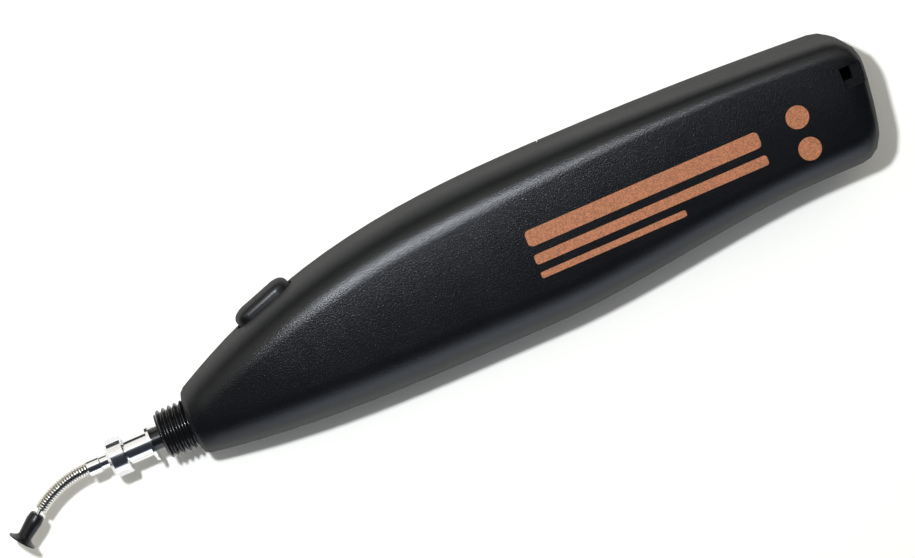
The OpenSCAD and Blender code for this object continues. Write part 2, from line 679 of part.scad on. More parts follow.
// Pump, from the motor's axis down to the inlet
diaphragm_y = 4.6;
diaphragm_r = 7;
valve_y = diaphragm_y - diaphragm_t - valve_t;
head_bottom = -2.5;
pump_mid = pump_x + pump_len / 2;
crank_r = 6.5;
inlet_len = 4.5;
hose_r = 2.5;
inlet_bore = 0.8;
module suction_hose() {
    color("gainsboro") place() translate([spigot_rear + seat_gap, 0, 0]) rotate([0, 90, 0]) difference() {
        hose_len = pump_x - spigot_rear - 2 * seat_gap;
        cylinder(r = hose_r, h = hose_len);
        translate([0, 0, -1]) cylinder(r = barb_r + 0.02, h = hose_len + 2);
    }
}
module pump_block(y0, y1) {
    translate([pump_x, y0, -pump_r]) cube([pump_len, y1 - y0, 2 * pump_r]);
}
port_gap = 3.4;
module pump_head() {
    color("gray") place() difference() {
        union() {
            pump_block(head_bottom, valve_y);
            translate([pump_x - inlet_len, 0, 0]) rotate([0, 90, 0]) cylinder(r = barb_r, h = inlet_len + 1);
        }
        translate([pump_x - inlet_len - 1, 0, 0]) rotate([0, 90, 0])
            cylinder(r = inlet_bore, h = inlet_len + 1 + pump_len / 2 - port_gap);
        for (side = [-1, 1]) translate([pump_mid + side * port_gap, 0, 0]) rotate([-90, 0, 0])
            cylinder(r = inlet_bore, h = valve_y + 1);
        translate([pump_mid + port_gap, 0, 0]) cylinder(r = inlet_bore, h = through);
    }
}
module valve_plate() {
    color("tan") place() difference() {
        pump_block(valve_y, valve_y + valve_t);
        for (side = [-1, 1]) translate([pump_mid + side * port_gap, valve_y - 1, 0]) rotate([-90, 0, 0])
            cylinder(r = inlet_bore, h = valve_t + 2);
    }
}
rod_half = 1.5;
hub_h = 0.8;
module diaphragm() {
    color(rubber_black) place() translate([pump_mid, diaphragm_y - diaphragm_t, 0]) rotate([-90, 0, 0]) {
        cylinder(r = diaphragm_r, h = diaphragm_t);
        cylinder(r = 2.2, h = diaphragm_t + hub_h);
    }
}
ring_bore = eccentric_r + throw + 0.35;
ring_r = ring_bore + 1;
module connecting_rod() {
    color("whitesmoke") place() translate([pump_mid - rod_half, 0, 0]) difference() {
        union() {
            translate([0, motor_y, 0]) rotate([0, 90, 0]) cylinder(r = ring_r, h = 2 * rod_half);
            translate([0, diaphragm_y + hub_h, -1.2])
                cube([2 * rod_half, motor_y - diaphragm_y - hub_h, 2.4]);
        }
        translate([-1, motor_y, 0]) rotate([0, 90, 0]) cylinder(r = ring_bore, h = 2 * rod_half + 2);
    }
}
module pump_body() {
    color("gray") place() difference() {
        union() {
            pump_block(diaphragm_y, motor_y);
            translate([pump_x, motor_y, 0]) rotate([0, 90, 0]) cylinder(r = pump_r, h = pump_len);
        }
        translate([pump_x + 2, motor_y, 0]) rotate([0, 90, 0]) cylinder(r = crank_r, h = pump_len);
        translate([pump_mid, diaphragm_y - 1, 0]) rotate([-90, 0, 0])
            cylinder(r = 4.6, h = motor_y - diaphragm_y);
    }
}
terminal_y = -2.2;
terminal_z = 4.5;
terminal_len = 1.8;
motor_nose_r = 3;
motor_nose_h = 1.2;
shaft_in = 18;
module motor() {
    color("silver") place() translate([motor_x, motor_y, 0]) difference() {
        union() {
            intersection() {
                rotate([0, 90, 0]) cylinder(r = motor_r, h = motor_len);
                translate([-1, -motor_r, -motor_flat]) cube([motor_len + 2, 2 * motor_r, 2 * motor_flat]);
            }
            translate([-motor_nose_h, 0, 0]) rotate([0, 90, 0])
                cylinder(r = motor_nose_r, h = motor_nose_h + 1);
            for (side = [-1, 1]) translate([motor_len - 1, terminal_y - 1, side * terminal_z - 0.2])
                cube([terminal_len + 1, 2, 0.4]);
        }
        translate([-motor_nose_h - 1, 0, 0]) rotate([0, 90, 0])
            cylinder(r = shaft_r + running, h = shaft_in + motor_nose_h + 1.3);
    }
}
module motor_shaft() {
    color(steel) place() translate([pump_mid, motor_y, 0]) rotate([0, 90, 0]) {
        translate([0, 0, -rod_half]) cylinder(r = shaft_r, h = rod_half + pump_len / 2 + shaft_in);
        translate([throw, 0, -rod_half]) cylinder(r = eccentric_r, h = 2 * rod_half);
    }
}

// Cells and contacts: the front-facing cell has its nub at the front, the other at the rear
nub_r = 1.9;
nub_h = 1.2;
module cell() {
    cylinder(r = cell_r, h = cell_len - nub_h);
    cylinder(r = nub_r, h = cell_len);
}
module cell_front() {
    color("darkorange") place() translate([bay_x + contact_t + cell_len, cell_ys[0], 0])
        rotate([0, -90, 0]) cell();
}
module cell_rear() {
    color("darkorange") place() translate([bay_end - contact_t - cell_len, cell_ys[1], 0])
        rotate([0, 90, 0]) cell();
}
contact_half = 4.2;
module contact_plate(x, y0, y1) {
    translate([x, y0 - contact_half, 1 - cell_r])
        cube([contact_t, y1 - y0 + 2 * contact_half, 2 * contact_half]);
}
// Conical coil from a plate to a cell's flat end, along +z
module contact_coil() {
    turns = 3;
    steps = 12;
    wire_r = 0.25;
    frames = [for (i = [0:turns * steps]) let (
        part = i / (turns * steps), a = 360 * i / steps, r = 3.6 - 1.2 * part,
        radial = [cos(a), sin(a), 0])
        [radial * r + [0, 0, wire_r + (spring_len - 2 * wire_r) * part], [0, 0, 1], radial]];
    swept_wire(frames, wire_r, 5);
}
module negative_contact() {
    color(steel) place() contact_plate(bay_x, cell_ys[1], cell_ys[1]);
}
module negative_spring() {
    color(steel) place() translate([bay_x + contact_t, cell_ys[1], 0]) rotate([0, 90, 0]) contact_coil();
}
module positive_contact() {
    color(steel) place() contact_plate(bay_x, cell_ys[0], cell_ys[0]);
}
module bridge_contact() {
    color(steel) place() contact_plate(bay_end - contact_t, cell_ys[0], cell_ys[1]);
}
module bridge_spring() {
    color(steel) place() translate([bay_end - contact_t, cell_ys[0], 0]) rotate([0, -90, 0]) contact_coil();
}

// Leads: round wires along smooth lines, from the switch board to the cells and the motor
function unit(v) = v / norm(v);
function curve_at(p, u) =
    p[1] + (p[2] - p[0]) * u / 2 + (2 * p[0] - 5 * p[1] + 4 * p[2] - p[3]) * u * u / 2
    + (3 * p[1] - p[0] - 3 * p[2] + p[3]) * u * u * u / 2;
function smooth_path(points, steps) =
    let (
        n = len(points),
        ends = concat([2 * points[0] - points[1]], points, [2 * points[n - 1] - points[n - 2]])
    )
    concat(
        [for (i = [0:n - 2]) for (k = [0:steps - 1]) curve_at([for (j = [0:3]) ends[i + j]], k / steps)],
        [points[n - 1]]
    );
module lead(points) {
    path = smooth_path(points, 4);
    n = len(path);
    frames = [for (i = [0:n - 1]) let (
        along = unit(path[min(i + 1, n - 1)] - path[max(i - 1, 0)]),
        side = unit(cross(along, [0.2, 1, 0.3])))
        [path[i], side, cross(along, side)]];
    swept_wire(frames, lead_r, 6);
}
// Where a lead meets the rear edge of the switch board, and a terminal of the motor
board_end = board_len / 2 + lead_r + 0.1;
board_pad = [
    button_x + board_end * cos(button_slope) - (board_y - board_t / 2) * sin(button_slope),
    back_line(button_x) + board_end * sin(button_slope) + (board_y - board_t / 2) * cos(button_slope)
];
terminal = [motor_end + terminal_len + lead_r + 0.1, motor_y + terminal_y];
side_z = half_t - wall - 1.6;
battery_pad_z = 5.6;
motor_pad_z = 3;
lead_front = bay_x - lead_r / 2;
module battery_lead() {
    y = cell_ys[0];
    color("firebrick") place() lead([
        [lead_front, y, lead_hole_z], [lead_front - bulkhead_t - 2, y, lead_hole_z + 1],
        [motor_end + 2, 4, side_z], [motor_x, 4, side_z], [pump_x + 1, 4, side_z],
        [pump_x - 5, 6, side_z - 0.6],
        [board_pad[0] + 0.6, board_pad[1] - 0.8, battery_pad_z + 0.8],
        [board_pad[0], board_pad[1], battery_pad_z]
    ]);
}
module motor_lead() {
    color("firebrick") place() lead([
        [board_pad[0], board_pad[1], motor_pad_z],
        [board_pad[0] - 0.7, board_pad[1] + 3, motor_pad_z + 2.2],
        [front_boss_x - 2, front_boss_y + boss_r, side_z - 2.2],
        [pump_x, front_boss_y + boss_r + 0.2, side_z - 1.2],
        [motor_x, motor_y + 4.4, side_z], [motor_end - 3, motor_y + 4.4, side_z],
        [motor_end + 1.6, motor_y + 2, side_z - 0.4],
        [terminal[0], terminal[1], terminal_z]
    ]);
}
module return_lead() {
    color("dimgray") place() lead([
        [terminal[0], terminal[1], -terminal_z], [terminal[0] + 2.5, terminal[1] + 1, -2.5],
        [cover_x - 2, cell_ys[1] - 0.3, lead_hole_z - 0.2], [lead_front, cell_ys[1], lead_hole_z]
    ]);
}

upper_shell();
lower_shell();
battery_cover();
housing_screws();
button_cap();
switch_plunger();
push_switch();
switch_board();
thread_collar();
spigot();
o_ring();
filter();
nozzle_holder();
collar_nut();
ferrule();
pipe();
coil_sleeve();
suction_pad();
suction_hose();
pump_head();
valve_plate();
diaphragm();
connecting_rod();
pump_body();
motor();
motor_shaft();
cell_front();
cell_rear();
negative_contact();
negative_spring();
positive_contact();
bridge_contact();
bridge_spring();
battery_lead();
motor_lead();
return_lead();
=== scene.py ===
"""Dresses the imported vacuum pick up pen: moulded shells, threaded nose, chromed nozzle, print and bench."""

from __future__ import annotations

import logging
import math
from dataclasses import dataclass
from enum import Enum
from typing import Any, Callable, Mapping, Sequence, Union

import bpy
from mathutils import Matrix, Vector

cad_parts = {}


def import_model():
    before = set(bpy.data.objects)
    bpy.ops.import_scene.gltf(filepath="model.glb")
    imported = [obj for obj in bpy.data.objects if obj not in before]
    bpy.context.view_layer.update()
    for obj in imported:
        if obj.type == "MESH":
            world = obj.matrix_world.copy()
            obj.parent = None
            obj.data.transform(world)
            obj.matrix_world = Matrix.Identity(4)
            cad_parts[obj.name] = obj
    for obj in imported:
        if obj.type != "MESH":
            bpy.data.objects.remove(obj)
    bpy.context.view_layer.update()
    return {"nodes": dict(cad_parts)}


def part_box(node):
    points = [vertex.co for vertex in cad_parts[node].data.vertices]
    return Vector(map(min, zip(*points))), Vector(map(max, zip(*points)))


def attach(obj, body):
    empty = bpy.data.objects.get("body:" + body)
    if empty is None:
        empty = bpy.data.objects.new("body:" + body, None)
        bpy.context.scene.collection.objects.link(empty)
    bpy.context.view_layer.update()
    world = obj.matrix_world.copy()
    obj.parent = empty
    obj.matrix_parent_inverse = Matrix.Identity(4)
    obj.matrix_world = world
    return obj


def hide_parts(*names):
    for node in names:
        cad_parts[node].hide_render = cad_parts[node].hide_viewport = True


LOG = logging.getLogger("pen")
MM = 0.001
TURN = 2 * math.pi
KEPT_ANGLE_DEG = 32.0
FITTED_ANGLE_DEG = 38.0
NOISE_MIDDLE = 0.5
NEAR_NOUGHT = 0.001

# Places of the sockets of Blender's colour mix and smooth shading nodes.
MIX_FACTOR = 0
MIX_FIRST = 6
MIX_SECOND = 7
MIX_RESULT = 2
SMOOTH_MESH = 0
SMOOTH_FLAG = 2

Colour = tuple[float, float, float]
Hue = Union[Colour, bpy.types.NodeSocket]
Point = tuple[float, float, float]
Ring = tuple[float, float]
Outline = list[tuple[float, float]]
Relief = Callable[[float, float, float], float]
Number = Union["Signal", float]


class Body(Enum):
    """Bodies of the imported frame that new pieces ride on."""

    PEN = "pen_body"
    NUT = "nut"
    NOZZLE = "nozzle"


@dataclass(frozen=True)
class PenFrame:
    """Place of the pen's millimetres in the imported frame.

    X runs rearward from the nose face, Y up the back from the nozzle's axis and Z from the seam.
    """

    nose_x: float
    axis_y: float
    seam_z: float

    @classmethod
    def from_nodes(cls) -> PenFrame:
        """Reads the frame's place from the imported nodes."""
        shell_low, shell_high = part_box("lower_shell")
        collar_low, collar_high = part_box("thread_collar")
        return cls(shell_low[0], (collar_low[1] + collar_high[1]) / 2, shell_high[2])

    def row(self, point: Sequence[float]) -> Point:
        """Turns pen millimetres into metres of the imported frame."""
        return (
            self.nose_x + point[0] * MM,
            self.axis_y + point[1] * MM,
            self.seam_z + point[2] * MM,
        )


class Solid:
    """Points and faces of closed meshes, gathered in pen millimetres."""

    def __init__(self) -> None:
        """Starts with no points."""
        self.points: list[Point] = []
        self.faces: list[tuple[int, ...]] = []

    def add(self, points: Sequence[Point], faces: Sequence[Sequence[int]]) -> None:
        """Adds one closed mesh to those gathered so far."""
        first = len(self.points)
        self.points.extend(points)
        self.faces.extend(tuple(first + k for k in face) for face in faces)

    def rings(self, rings: Sequence[Sequence[Point]], closed: bool) -> None:
        """Skins a row of rings.

        Args:
            rings: Rings of as many points each.
            closed: Joins the last ring to the first; otherwise both ends are capped.
        """
        count = len(rings)
        sides = len(rings[0])
        faces: list[tuple[int, ...]] = []
        for i in range(count if closed else count - 1):
            ahead = (i + 1) % count
            for k in range(sides):
                beside = (k + 1) % sides
                near = (i * sides + k, i * sides + beside)
                far = (ahead * sides + beside, ahead * sides + k)
                faces.append(near + far)
        if not closed:
            faces.append(tuple(range(sides - 1, -1, -1)))
            faces.append(tuple((count - 1) * sides + k for k in range(sides)))
        self.add([point for ring in rings for point in ring], faces)

    def turned(self, profile: Sequence[Ring], sides: int, relief: Relief) -> None:
        """Turns a closed profile about the nozzle's axis.

        Args:
            profile: Radius and place along X of each corner of the profile.
            sides: Steps round the axis.
            relief: Gives the radius cut at a radius, a place along X and an angle.
        """
        rings = []
        for i in range(sides):
            angle = TURN * i / sides
            ring = []
            for radius, x in profile:
                cut = relief(radius, x, angle)
                ring.append((x, cut * math.cos(angle), cut * math.sin(angle)))
            rings.append(ring)
        self.rings(rings, True)

    def plate(self, outline: Outline, low: float, high: float) -> None:
        """Raises an outline in X and Y into a plate between two heights."""
        self.rings([[(x, y, z) for x, y in outline] for z in (low, high)], False)

    def object(self, name: str, frame: PenFrame) -> bpy.types.Object:
        """Makes the gathered meshes into one object of the scene."""
        mesh = bpy.data.meshes.new(name)
        mesh.from_pydata([frame.row(point) for point in self.points], [], self.faces)
        mesh.update()
        made = bpy.data.objects.new(name, mesh)
        bpy.context.scene.collection.objects.link(made)
        return made


class Graph:
    """A node tree that is filled through one method."""

    def __init__(self, tree: bpy.types.NodeTree) -> None:
        """Takes the tree that the nodes go into."""
        self.tree = tree

    def node(
        self,
        kind: str,
        settings: Mapping[str, Any] | None = None,
        sockets: Mapping[Any, Any] | None = None,
    ) -> bpy.types.Node:
        """Adds a node.

        Args:
            kind: Blender's type of the node.
            settings: Properties, which are set first.
            sockets: Values or links for its inputs, by name or number.

        Returns:
            The new node.
        """
        made = self.tree.nodes.new(kind)
        for key, value in (settings or {}).items():
            setattr(made, key, value)
        for key, value in (sockets or {}).items():
            self.feed(made.inputs[key], value)
        return made

    def feed(self, socket: bpy.types.NodeSocket, value: Any) -> None:
        """Links a socket to a signal or another socket, or sets its value."""
        if isinstance(value, Signal):
            self.tree.links.new(value.socket, socket)
        elif isinstance(value, bpy.types.NodeSocket):
            self.tree.links.new(value, socket)
        else:
            socket.default_value = value

    def mix(self, amount: Number, first: Hue, second: Hue) -> bpy.types.NodeSocket:
        """Mixes two colours, each written down or taken from a socket."""
        hues = [(*hue, 1.0) if isinstance(hue, tuple) else hue for hue in (first, second)]
        sockets = {MIX_FACTOR: amount, MIX_FIRST: hues[0], MIX_SECOND: hues[1]}
        return self.node("ShaderNodeMix", {"data_type": "RGBA"}, sockets).outputs[MIX_RESULT]


class Signal:
    """A number in a shader graph, joined up with ordinary operators."""

    def __init__(self, graph: Graph, socket: bpy.types.NodeSocket) -> None:
        """Wraps one output socket."""
        self.graph = graph
        self.socket = socket

    def math(self, operation: str, first: Number, second: Number) -> Signal:
        """Joins two numbers with a Math node."""
        made = self.graph.node("ShaderNodeMath", {"operation": operation}, {0: first, 1: second})
        return Signal(self.graph, made.outputs[0])

    def __add__(self, other: Number) -> Signal:
        """Adds."""
        return self.math("ADD", self, other)

    def __radd__(self, other: Number) -> Signal:
        """Adds to a plain number."""
        return self.math("ADD", other, self)

    def __sub__(self, other: Number) -> Signal:
        """Takes away."""
        return self.math("SUBTRACT", self, other)

    def __rsub__(self, other: Number) -> Signal:
        """Takes from a plain number."""
        return self.math("SUBTRACT", other, self)

    def __mul__(self, other: Number) -> Signal:
        """Multiplies."""
        return self.math("MULTIPLY", self, other)

    def __truediv__(self, other: Number) -> Signal:
        """Divides."""
        return self.math("DIVIDE", self, other)

    def __pow__(self, other: Number) -> Signal:
        """Raises to a power."""
        return self.math("POWER", self, other)

    def above(self, level: Number) -> Signal:
        """Gives one where the number is above a level."""
        return self.math("GREATER_THAN", self, level)

    def clamped(self) -> Signal:
        """Holds the number between nought and one."""
        made = self.graph.node("ShaderNodeClamp", None, {0: self})
        return Signal(self.graph, made.outputs[0])


class Shade(Graph):
    """The shader graph of one material."""

    def __init__(self, name: str) -> None:
        """Starts a material with an empty graph."""
        self.material = bpy.data.materials.new(name)
        self.material.use_nodes = True
        super().__init__(self.material.node_tree)
        self.tree.nodes.clear()
        self.output = self.node("ShaderNodeOutputMaterial")
        self.place = self.node("ShaderNodeTexCoord").outputs["Object"]

    def noise(self, size_mm: float, detail: float, stretch: Point = (1.0, 1.0, 1.0)) -> Signal:
        """Gives noise between about nought and one.

        Args:
            size_mm: Size of its spots.
            detail: Finer layers in it.
            stretch: Scale of the place along each axis.

        Returns:
            The noise.
        """
        scaled = {"Vector": self.place, "Scale": stretch}
        mapped = self.node("ShaderNodeMapping", {"vector_type": "TEXTURE"}, scaled)
        sockets = {"Vector": mapped.outputs[0], "Scale": 1 / (size_mm * MM), "Detail": detail}
        return Signal(self, self.node("ShaderNodeTexNoise", None, sockets).outputs[0])

    def bump(self, height: Number, depth_mm: float) -> bpy.types.NodeSocket:
        """Raises a bump of a depth."""
        sockets = {"Strength": 1.0, "Distance": depth_mm * MM, "Height": height}
        return self.node("ShaderNodeBump", None, sockets).outputs[0]

    def surface(self, sockets: Mapping[str, Any]) -> None:
        """Ends the graph with a principled surface."""
        made = self.node("ShaderNodeBsdfPrincipled", None, sockets)
        self.tree.links.new(made.outputs[0], self.output.inputs["Surface"])


@dataclass(frozen=True)
class Finish:
    """A finish whose material is made once and then shared."""

    name: str

    def shade(self, shade: Shade) -> None:
        """Fills the graph of the finish's material."""
        raise NotImplementedError

    def material(self) -> bpy.types.Material:
        """Gives the material, made at its first use."""
        known = bpy.data.materials.get(self.name)
        if known is not None:
            return known
        shade = Shade(self.name)
        self.shade(shade)
        return shade.material

    def on(self, *objects: bpy.types.Object) -> None:
        """Puts the finish on objects in place of what they have."""
        for thing in objects:
            thing.data.materials.clear()
            thing.data.materials.append(self.material())


@dataclass(frozen=True)
class Packed(Finish):
    """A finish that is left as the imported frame's plain material of the same name."""

    def material(self) -> bpy.types.Material:
        """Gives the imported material."""
        return bpy.data.materials[self.name]


@dataclass(frozen=True)
class Plastic(Finish):
    """Moulded plastic with a spark-eroded grain and faint handling marks."""

    colour: Colour
    worn: Colour
    roughness: float
    grain_mm: float
    grain_depth_mm: float
    smudge_mm: float = 14.0
    specular: float = 0.5
    glance: float = 0.0
    glance_power: float = 2.0
    fine_scale: float = 0.55
    fine_share: float = 0.5
    grain_sheen: float = 0.08
    smudge_sheen: float = 0.1
    smudge_share: float = 0.3

    def shade(self, shade: Shade) -> None:
        """Fills the graph with grain, smudges and a sheen that dulls at a glancing view."""
        coarse = shade.noise(self.grain_mm, detail=3.0)
        fine = shade.noise(self.grain_mm * self.fine_scale, detail=2.0)
        grain = coarse * (1 - self.fine_share) + fine * self.fine_share
        smudge = shade.noise(self.smudge_mm, detail=4.0)
        glance = Signal(shade, shade.node("ShaderNodeLayerWeight").outputs["Facing"])
        sheen = self.roughness + (grain - NOISE_MIDDLE) * self.grain_sheen
        sheen = sheen + (smudge - NOISE_MIDDLE) * self.smudge_sheen
        worn = (grain * (1 - self.smudge_share) + smudge * self.smudge_share).clamped()
        shade.surface({
            "Base Color": shade.mix(worn, self.colour, self.worn),
            "Roughness": sheen + glance ** self.glance_power * self.glance,
            "Specular IOR Level": self.specular,
            "Normal": shade.bump(grain, self.grain_depth_mm),
        })


@dataclass(frozen=True)
class Metal(Finish):
    """Wire or blackened metal with fine marks round the nozzle's axis."""

    colour: Colour
    dull_and_shade: Colour
    roughness: float
    mark_mm: float
    mark_depth_mm: float
    mark_stretch: Point = (1.0, 12.0, 12.0)
    bloom_mm: float = 2.5
    bloom_level: float = 0.4
    bloom_sheen: float = 0.12

    def shade(self, shade: Shade) -> None:
        """Fills the graph with fine marks and a faint bloom."""
        marks = shade.noise(self.mark_mm, detail=2.0, stretch=self.mark_stretch)
        bloom = shade.noise(self.bloom_mm, detail=3.0)
        shade.surface({
            "Base Color": shade.mix(bloom, self.colour, self.dull_and_shade),
            "Metallic": 1.0,
            "Roughness": self.roughness + (bloom - self.bloom_level).clamped() * self.bloom_sheen,
            "Normal": shade.bump(marks, self.mark_depth_mm),
        })


@dataclass(frozen=True)
class Tube(Finish):
    """Steel tube, polished, with painted shade on the stretch that its coil covers."""

    polished: Colour
    # Dark colour painted as shade on the stretch of tube that the coil covers.
    dull_and_shade: Colour
    painted_shade_above_m: float
    roughness: float = 0.08
    dull_sheen: float = 0.42
    mark_mm: float = 0.15
    mark_depth_mm: float = 0.0006
    mark_sheen: float = 0.06
    mark_stretch: Point = (1.0, 8.0, 8.0)

    def shade(self, shade: Shade) -> None:
        """Fills the graph with drawing marks and with painted shade under the coil, and leaves the end past
        the coil polished.
        """
        split = shade.node("ShaderNodeSeparateXYZ", None, {0: shade.place})
        # One on the stretch under the coil, where the colour is painted shade and the surface rougher.
        under_coil_shade = Signal(shade, split.outputs[0]).above(self.painted_shade_above_m)
        marks = shade.noise(self.mark_mm, detail=2.0, stretch=self.mark_stretch)
        shade.surface({
            "Base Color": shade.mix(under_coil_shade, self.polished, self.dull_and_shade),
            "Metallic": 1.0,
            "Roughness": self.roughness + under_coil_shade * self.dull_sheen + marks * self.mark_sheen,
            "Normal": shade.bump(marks, self.mark_depth_mm),
        })


@dataclass(frozen=True)
class Ink(Finish):
    """Pad-printed ink that the moulded grain breaks up."""

    colour: Colour
    thin: Colour
    roughness: float = 0.5
    grain_mm: float = 0.34
    grain_depth_mm: float = 0.012
    grain_sheen: float = 0.2
    speck_mm: float = 0.16
    speck_share: float = 0.5
    thin_level: float = 0.40
    thin_contrast: float = 5.0

    def shade(self, shade: Shade) -> None:
        """Fills the graph with speckled cover over the grain."""
        grain = shade.noise(self.grain_mm, detail=3.0)
        speck = shade.noise(self.speck_mm, detail=2.0)
        mottle = grain * (1 - self.speck_share) + speck * self.speck_share
        thinned = ((mottle - self.thin_level) * self.thin_contrast).clamped()
        shade.surface({
            "Base Color": shade.mix(thinned, self.colour, self.thin),
            "Roughness": self.roughness + (grain - NOISE_MIDDLE) * self.grain_sheen,
            "Normal": shade.bump(grain, self.grain_depth_mm),
        })


class Finishes:
    """The finishes of the pen, by what they cover."""

    SHELL = Plastic(
        "moulded_black",
        colour=(0.0012, 0.0015, 0.0021),
        worn=(0.0026, 0.0030, 0.0038),
        roughness=0.30,
        grain_mm=0.34,
        grain_depth_mm=0.075,
        specular=0.33,
        glance=0.55,
    )
    CAP = Plastic(
        "button_black",
        colour=(0.003, 0.003, 0.0034),
        worn=(0.006, 0.006, 0.0065),
        roughness=0.34,
        grain_mm=0.3,
        grain_depth_mm=0.015,
        specular=0.34,
        glance=0.5,
    )
    GLOSS = Plastic(
        "turned_black",
        colour=(0.004, 0.004, 0.0045),
        worn=(0.008, 0.008, 0.0085),
        roughness=0.22,
        grain_mm=0.2,
        grain_depth_mm=0.002,
        smudge_mm=6.0,
        specular=0.38,
    )
    RUBBER = Plastic(
        "rubber_black",
        colour=(0.003, 0.003, 0.0033),
        worn=(0.006, 0.006, 0.006),
        roughness=0.32,
        grain_mm=0.15,
        grain_depth_mm=0.003,
        smudge_mm=3.0,
        specular=0.32,
    )
    WHITE = Packed("white_plastic")
    GREY = Packed("grey_plastic")
    BOARD = Plastic(
        "board_green",
        colour=(0.010, 0.085, 0.035),
        worn=(0.018, 0.12, 0.055),
        roughness=0.3,
        grain_mm=0.4,
        grain_depth_mm=0.01,
        smudge_mm=3.0,
    )
    HOSE = Plastic(
        "hose_clear",
        colour=(0.62, 0.64, 0.62),
        worn=(0.70, 0.71, 0.69),
        roughness=0.18,
        grain_mm=0.6,
        grain_depth_mm=0.004,
        smudge_mm=5.0,
    )
    RED_LEAD = Plastic(
        "lead_red",
        colour=(0.42, 0.020, 0.016),
        worn=(0.50, 0.035, 0.028),
        roughness=0.4,
        grain_mm=0.5,
        grain_depth_mm=0.006,
        smudge_mm=4.0,
    )
    GREY_LEAD = Plastic(
        "lead_grey",
        colour=(0.10, 0.10, 0.105),
        worn=(0.14, 0.14, 0.145),
        roughness=0.4,
        grain_mm=0.5,
        grain_depth_mm=0.006,
        smudge_mm=4.0,
    )
    CHROME = Packed("chrome")
    COIL = Metal(
        "coil_wire",
        colour=(0.74, 0.72, 0.67),
        dull_and_shade=(0.60, 0.58, 0.54),
        roughness=0.13,
        mark_mm=0.2,
        mark_depth_mm=0.001,
    )
    PIPE = Tube(
        "pipe_steel",
        polished=(0.74, 0.73, 0.70),
        # The dark colour is painted shade for where the coil covers the pipe.
        dull_and_shade=(0.08, 0.078, 0.072),
        painted_shade_above_m=-0.1166,
    )
    STEEL = Packed("steel")
    SCREW = Metal(
        "screw_black",
        colour=(0.05, 0.05, 0.052),
        dull_and_shade=(0.09, 0.09, 0.09),
        roughness=0.34,
        mark_mm=0.2,
        mark_depth_mm=0.002,
    )
    CAN = Packed("motor_can")
    INK = Ink(
        "orange_ink",
        colour=(0.47, 0.165, 0.065),
        thin=(0.18, 0.066, 0.026),
    )
    FELT = Packed("filter_felt")
    CELL = Packed("cell_wrap")


@dataclass(frozen=True)
class SmoothShading:
    """Geometry nodes that weld a CAD mesh and smooth its shading across shallow edges."""

    angle_deg: float
    weld_mm: float = 0.002

    def group(self) -> bpy.types.NodeTree:
        """Gives the node group for the angle, made at its first use."""
        name = f"smooth_{self.angle_deg:.0f}"
        known = bpy.data.node_groups.get(name)
        if known is not None:
            return known
        tree = bpy.data.node_groups.new(name, "GeometryNodeTree")
        tree.interface.new_socket(name="Geometry", in_out="INPUT", socket_type="NodeSocketGeometry")
        tree.interface.new_socket(name="Geometry", in_out="OUTPUT", socket_type="NodeSocketGeometry")
        graph = Graph(tree)
        start = graph.node("NodeGroupInput")
        weld = graph.node(
            "GeometryNodeMergeByDistance",
            None,
            {"Geometry": start.outputs[0], "Distance": self.weld_mm * MM},
        )
        bare = graph.node(
            "GeometryNodeRemoveAttribute", None, {"Geometry": weld.outputs[0], "Name": "custom_normal"}
        )
        faces = graph.node(
            "GeometryNodeSetShadeSmooth",
            {"domain": "FACE"},
            {SMOOTH_MESH: bare.outputs[0], SMOOTH_FLAG: True},
        )
        angle = graph.node("GeometryNodeInputMeshEdgeAngle")
        shallow = graph.node(
            "FunctionNodeCompare",
            {"data_type": "FLOAT", "operation": "LESS_EQUAL"},
            {0: angle.outputs[0], 1: math.radians(self.angle_deg)},
        )
        edges = graph.node(
            "GeometryNodeSetShadeSmooth",
            {"domain": "EDGE"},
            {SMOOTH_MESH: faces.outputs[0], SMOOTH_FLAG: shallow.outputs[0]},
        )
        graph.node("NodeGroupOutput", None, {0: edges.outputs[0]})
        return tree

    def on(self, *objects: bpy.types.Object) -> None:
        """Adds the smoothing to objects."""
        for thing in objects:
            modifier = thing.modifiers.new("smooth_shading", "NODES")
            modifier.node_group = self.group()


@dataclass
class Assembly:
    """A group of nodes and pieces that are built and dressed together."""

    frame: PenFrame
    nodes: Mapping[str, bpy.types.Object]

    def keep(self, finish: Finish, *names: str, angle_deg: float = KEPT_ANGLE_DEG) -> None:
        """Keeps CAD nodes as they are shaped, smoothed and given a finish."""
        for name in names:
            thing = self.nodes[name]
            SmoothShading(angle_deg).on(thing)
            finish.on(thing)
            LOG.info("kept %s in %s", name, finish.name)

    def fit(
        self,
        solid: Solid,
        name: str,
        finish: Finish,
        body: Body,
        slot: str,
        replaced: Sequence[str] = (),
    ) -> None:
        """Makes a new piece that rides on a body.

        Args:
            solid: Its mesh.
            name: Its name.
            finish: Its finish.
            body: The body it moves with.
            slot: Name of a material slot; not used.
            replaced: CAD nodes that it stands in for.
        """
        made = solid.object(name, self.frame)
        SmoothShading(FITTED_ANGLE_DEG).on(made)
        finish.on(made)
        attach(made, body.value)
        if replaced:
            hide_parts(*replaced)
        LOG.info("built %s with %d faces", name, len(made.data.polygons))


